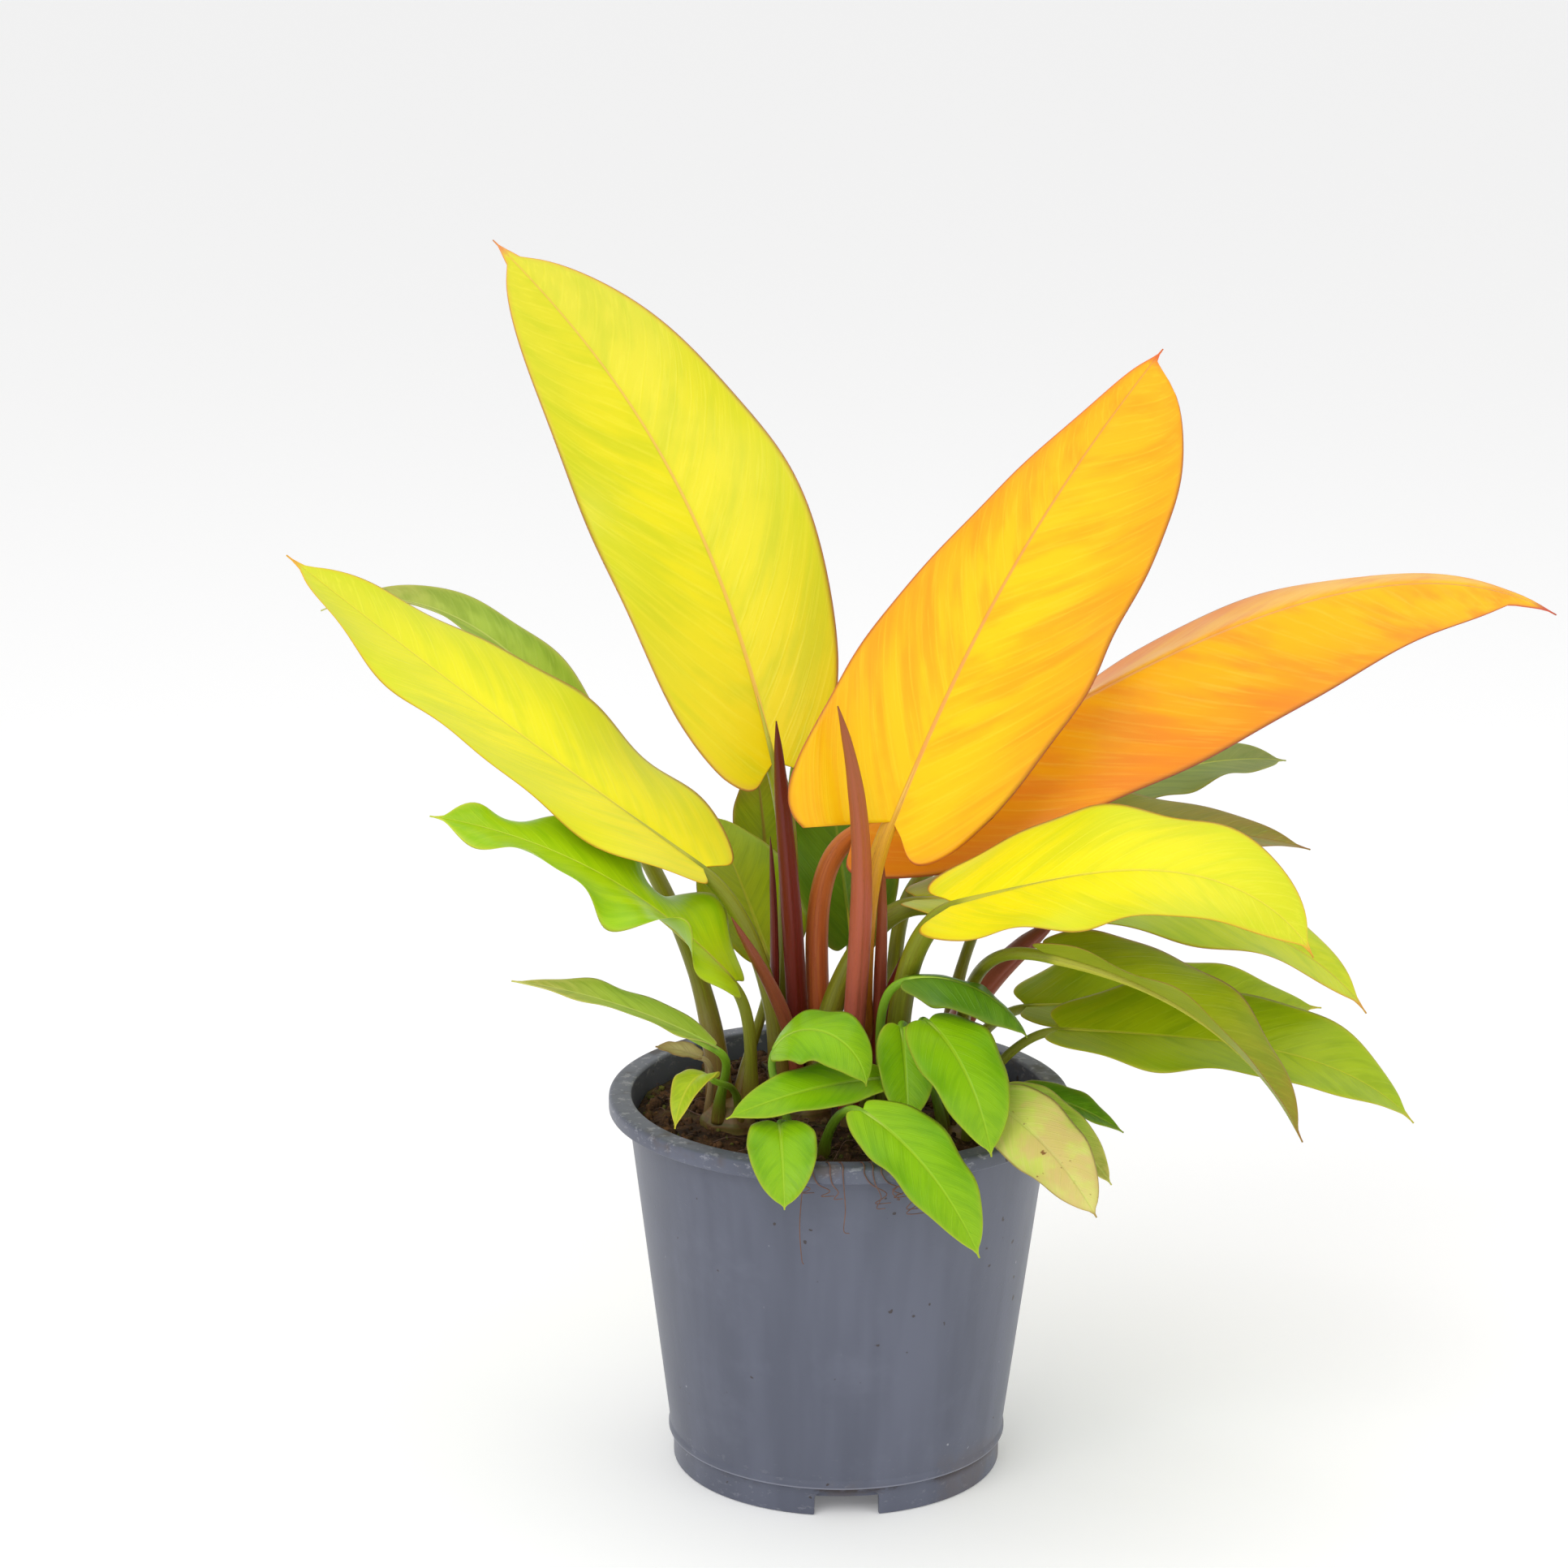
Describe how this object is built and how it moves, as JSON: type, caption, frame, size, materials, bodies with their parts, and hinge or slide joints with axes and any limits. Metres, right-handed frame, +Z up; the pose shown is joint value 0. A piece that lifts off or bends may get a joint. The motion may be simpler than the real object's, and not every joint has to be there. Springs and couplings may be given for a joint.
{
  "type": "potted philodendron",
  "caption": "Young clump of long-stalked philodendron leaves, yellow and orange above green, rooted in soil in a round tapered nursery pot with a rolled rim and a notched foot ring.",
  "frame": {"origin": "middle of the underside of the whole object's box, on the surface that the pot stands on; the pot's axis is 33.1 mm toward -X and 18.2 mm toward -Y from it", "axes": "+Z up along the pot's axis; +Y away from the viewer, along the plant's shorter spread; +X to the viewer's right, along its longer spread"},
  "size_m": [0.4798, 0.2598, 0.4417],
  "materials": {
    "pot_plastic": "grey-blue moulded plastic, satin, with scuffs and specks of dried soil",
    "soil_peat": "dark damp peat with fibres, crumbs and moss",
    "stem_tissue": "olive-brown stem stubs, waxy, browner toward the soil",
    "leaf_yellow": "lemon to lime yellow young leaf, semi-gloss, with fine side veins and a thin pink margin",
    "leaf_orange": "golden orange young leaf, glossy, with fine side veins and a pink midrib",
    "leaf_lime": "lime green leaf, semi-gloss",
    "leaf_green": "mid green leaf with a pale midrib, semi-gloss",
    "leaf_olive": "olive green leaf with a brownish tip, semi-gloss",
    "leaf_grey": "dull grey-green older leaf, satin",
    "leaf_baby": "small bright green leaf with a thin pale margin and a tan tip",
    "leaf_pale": "pale ageing leaf, satin, with tan and brown patches",
    "sheath_red": "red to maroon rolled leaf or sheath, glossy",
    "husk_dry": "dry papery scale, matt"
  },
  "bodies": {
    "root": {"pot": "pot_plastic", "soil": "soil_peat", "crown_middle": "stem_tissue", "crown_right": "stem_tissue", "crown_left": "stem_tissue", "crown_back": "stem_tissue", "crown_front": "stem_tissue", "crown_far_right": "stem_tissue", "leaf_tall_left": "leaf_yellow", "leaf_orange_centre": "leaf_orange", "leaf_orange_right": "leaf_orange", "leaf_yellow_left": "leaf_yellow", "leaf_arching_back": "leaf_green", "leaf_wavy_left": "leaf_green", "leaf_green_back_left": "leaf_green", "leaf_olive_back": "leaf_olive", "leaf_green_back": "leaf_green", "leaf_yellow_front": "leaf_yellow", "leaf_lime_right": "leaf_lime", "leaf_olive_right": "leaf_olive", "leaf_grey_back_right": "leaf_grey", "leaf_folded_right": "leaf_olive", "leaf_low_right": "leaf_green", "leaf_green_back_right": "leaf_green", "leaf_narrow_left": "leaf_pale", "leaf_drooping_left": "leaf_green", "leaf_curled_front": "leaf_baby", "leaf_small_front_left": "leaf_baby", "leaf_hanging_front": "leaf_baby", "leaf_front": "leaf_baby", "leaf_small_centre": "leaf_baby", "leaf_front_right": "leaf_baby", "leaf_dying_right": "leaf_pale", "leaf_pale_right": "leaf_pale", "leaf_small_far_right": "leaf_baby", "leaf_creased_front": "leaf_baby", "scale_dry": "husk_dry", "spear_dark": "sheath_red", "spear_pink": "sheath_red", "spear_thin": "sheath_red", "sheath_left": "sheath_red", "sheath_right": "sheath_red", "sheath_maroon": "sheath_red", "sheath_glossy": "sheath_red"}
  },
  "joints": []
}
